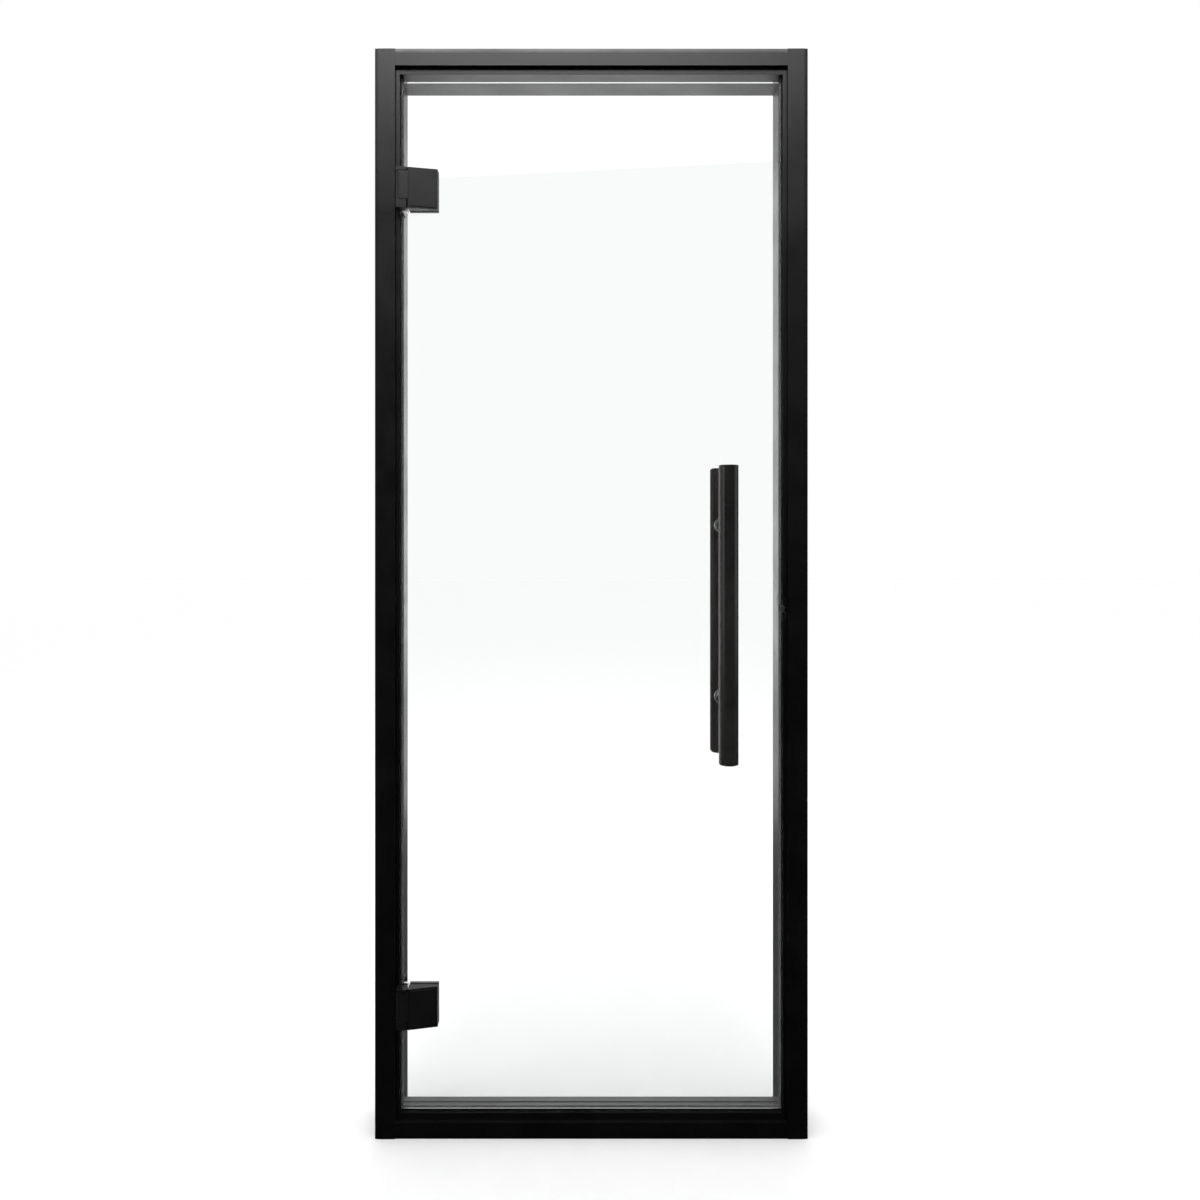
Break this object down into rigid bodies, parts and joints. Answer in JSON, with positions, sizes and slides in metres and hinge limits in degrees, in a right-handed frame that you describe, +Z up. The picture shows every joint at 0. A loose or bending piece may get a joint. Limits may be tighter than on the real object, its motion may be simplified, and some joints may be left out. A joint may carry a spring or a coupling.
{
  "type": "glass door",
  "caption": "Clear glass door hung on two clamp hinges in a black metal frame, with a pull bar on each face and a sprung roller catch.",
  "frame": {"origin": "middle of the frame's underside, halfway through its depth", "axes": "+X towards the latch side, +Y towards the back, where the stop seals are, +Z up"},
  "size_m": [0.79, 0.1545, 1.99],
  "materials": {
    "frame_black": "satin powder coat",
    "hinge_black": "satin powder coat",
    "handle_black": "satin powder coat",
    "pane": "clear polished",
    "grip_wood": "dark stained, oiled",
    "seal": "matte",
    "steel": "brushed",
    "dark_steel": "blackened",
    "plastic": "matte"
  },
  "bodies": {
    "frame": {"jamb_hinge_side": "frame_black", "jamb_latch_side": "frame_black", "head_rail": "frame_black", "sill": "frame_black", "corner_screws": "steel", "fixing_caps": "plastic", "stop_seal_hinge_side": "seal", "stop_seal_latch_side": "seal", "stop_seal_sill": "seal", "upper_hinge_bracket": "hinge_black", "upper_hinge_pin": "hinge_black", "upper_hinge_bracket_screws": "steel", "lower_hinge_bracket": "hinge_black", "lower_hinge_pin": "hinge_black", "lower_hinge_bracket_screws": "steel", "catch_housing": "hinge_black", "catch_screws": "dark_steel", "catch_spring": "steel"},
    "door": {"glass_pane": "pane", "upper_hinge_bushes": "plastic", "upper_hinge_front_clamp": "hinge_black", "upper_hinge_back_clamp": "hinge_black", "upper_hinge_gaskets": "seal", "upper_hinge_clamp_screws": "steel", "lower_hinge_bushes": "plastic", "lower_hinge_front_clamp": "hinge_black", "lower_hinge_back_clamp": "hinge_black", "lower_hinge_gaskets": "seal", "lower_hinge_clamp_screws": "steel", "outer_handle_tube": "handle_black", "outer_handle_end_caps": "handle_black", "outer_handle_upper_post": "handle_black", "outer_handle_lower_post": "handle_black", "outer_handle_nuts": "steel", "inner_handle_grip": "grip_wood", "inner_handle_upper_post": "steel", "inner_handle_lower_post": "steel", "inner_handle_collars": "steel", "inner_handle_inserts": "steel", "handle_studs": "steel", "handle_washers": "plastic", "handle_sleeves": "plastic"},
    "catch_slider": {"catch_fork": "dark_steel", "catch_axle": "dark_steel"},
    "catch_roller": {"catch_roller": "plastic"}
  },
  "joints": [
    {"name": "door_swing", "type": "hinge", "parent": "frame", "child": "door", "pos_m": [-0.349, -0.052, 0.99], "axis": [0, 0, -1], "range_deg": [0, 110]},
    {"name": "catch_slide", "type": "slide", "parent": "frame", "child": "catch_slider", "axis": [1, 0, 0], "range_m": [0, 0.003], "stiffness_N_per_m": 500, "springref_m": -0.004, "deforming": ["catch_spring"]},
    {"name": "roller_spin", "type": "hinge", "parent": "catch_slider", "child": "catch_roller", "pos_m": [0.351, -0.0423, 0.966], "axis": [0, 0, 1], "continuous": true}
  ]
}
